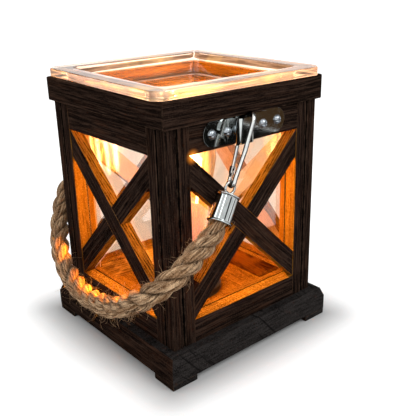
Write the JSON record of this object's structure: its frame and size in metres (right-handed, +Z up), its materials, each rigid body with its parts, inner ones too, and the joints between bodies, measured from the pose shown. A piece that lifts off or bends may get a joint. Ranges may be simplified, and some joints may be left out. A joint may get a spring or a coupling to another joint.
{
  "type": "light bulb wax warmer",
  "caption": "Wooden lantern wax warmer with braced windows, a glass dish over a bulb, and a rope handle on snap hooks.",
  "frame": {"origin": "middle of the base, on the surface that the feet stand on", "axes": "+Z up, -Y the front where the rope handle hangs, +X the side with the bracket seen in the picture"},
  "size_m": [0.1856, 0.1872, 0.1965],
  "materials": {
    "stained_wood": "dark stain, rough sawn, worn brown edges",
    "window_pane": "thin clear pane",
    "dish_glass": "clear pressed glass",
    "bulb_glass": "clear warm tinted glass",
    "filament": "glowing wire",
    "lamp_brass": "satin",
    "lamp_insulator": "moulded black",
    "screw_steel": "zinc plated",
    "black_rubber": "matte",
    "polished_chrome": "polished",
    "jute_rope": "three strand, hairy"
  },
  "bodies": {
    "lantern": {"base_board": "stained_wood", "base_screws": "screw_steel", "brace_long_back": "stained_wood", "brace_long_front": "stained_wood", "brace_long_left": "stained_wood", "brace_long_right": "stained_wood", "brace_short_back": "stained_wood", "brace_short_front": "stained_wood", "brace_short_left": "stained_wood", "brace_short_right": "stained_wood", "bracket_plate_left": "polished_chrome", "bracket_plate_right": "polished_chrome", "bracket_screws": "polished_chrome", "collar_back": "stained_wood", "collar_front": "stained_wood", "collar_left": "stained_wood", "collar_right": "stained_wood", "cord_grommet": "black_rubber", "feet": "stained_wood", "pane_back": "window_pane", "pane_front": "window_pane", "pane_left": "window_pane", "pane_right": "window_pane", "post_back_left": "stained_wood", "post_back_right": "stained_wood", "post_front_left": "stained_wood", "post_front_right": "stained_wood", "rail_bottom_back": "stained_wood", "rail_bottom_front": "stained_wood", "rail_bottom_left": "stained_wood", "rail_bottom_right": "stained_wood", "rail_top_back": "stained_wood", "rail_top_front": "stained_wood", "rail_top_left": "stained_wood", "rail_top_right": "stained_wood", "socket_body": "lamp_insulator", "socket_contact": "lamp_brass", "socket_screws": "screw_steel", "socket_sleeve": "lamp_brass", "stiles_back": "stained_wood", "stiles_front": "stained_wood", "stiles_left": "stained_wood", "stiles_right": "stained_wood", "strap_loop_left": "polished_chrome", "strap_loop_right": "polished_chrome"},
    "wax_dish": {"dish": "dish_glass"},
    "bulb": {"bulb_cap": "lamp_brass", "bulb_contact": "lamp_insulator", "bulb_filament": "filament", "bulb_glass": "bulb_glass", "bulb_stem": "bulb_glass", "bulb_supports": "filament"},
    "right_hook": {"hook_right": "polished_chrome"},
    "left_hook": {"hook_left": "polished_chrome"},
    "right_gate": {"gate_right": "polished_chrome"},
    "left_gate": {"gate_left": "polished_chrome"},
    "handle": {"rope": "jute_rope", "rope_cap_left": "polished_chrome", "rope_cap_right": "polished_chrome"}
  },
  "joints": [
    {"name": "dish_lift", "type": "slide", "parent": "lantern", "child": "wax_dish", "axis": [0, 0, 1], "range_m": [0, 0.06]},
    {"name": "bulb_turn", "type": "hinge", "parent": "lantern", "child": "bulb", "pos_m": [0, 0, 0.045], "axis": [0, 0, 1], "range_deg": [0, 720]},
    {"name": "handle_swing", "type": "hinge", "parent": "right_hook", "child": "handle", "pos_m": [0, -0.02454, 0.13049], "axis": [-1, 0, 0], "range_deg": [0, 80]},
    {"name": "right_hook_swing", "type": "hinge", "parent": "lantern", "child": "right_hook", "pos_m": [0.0769, -0.0061, 0.17567], "axis": [-1, 0, 0], "range_deg": [-20, 0]},
    {"name": "left_hook_swing", "type": "hinge", "parent": "lantern", "child": "left_hook", "pos_m": [-0.0769, -0.0061, 0.17567], "axis": [-1, 0, 0], "range_deg": [-20, 0]},
    {"name": "right_gate_press", "type": "hinge", "parent": "right_hook", "child": "right_gate", "pos_m": [0.07397, -0.02033, 0.13914], "axis": [0.2079, 0.9056, -0.3696], "range_deg": [0, 22], "stiffness_Nm_per_rad": 0.004, "springref_deg": -17.19},
    {"name": "left_gate_press", "type": "hinge", "parent": "left_hook", "child": "left_gate", "pos_m": [-0.07397, -0.02033, 0.13914], "axis": [0.2079, -0.9056, 0.3696], "range_deg": [0, 22], "stiffness_Nm_per_rad": 0.004, "springref_deg": -17.19}
  ],
  "couplings": [
    {"joint": "right_hook_swing", "follows": "handle_swing", "ratio": -0.25},
    {"joint": "left_hook_swing", "follows": "handle_swing", "ratio": -0.25}
  ]
}
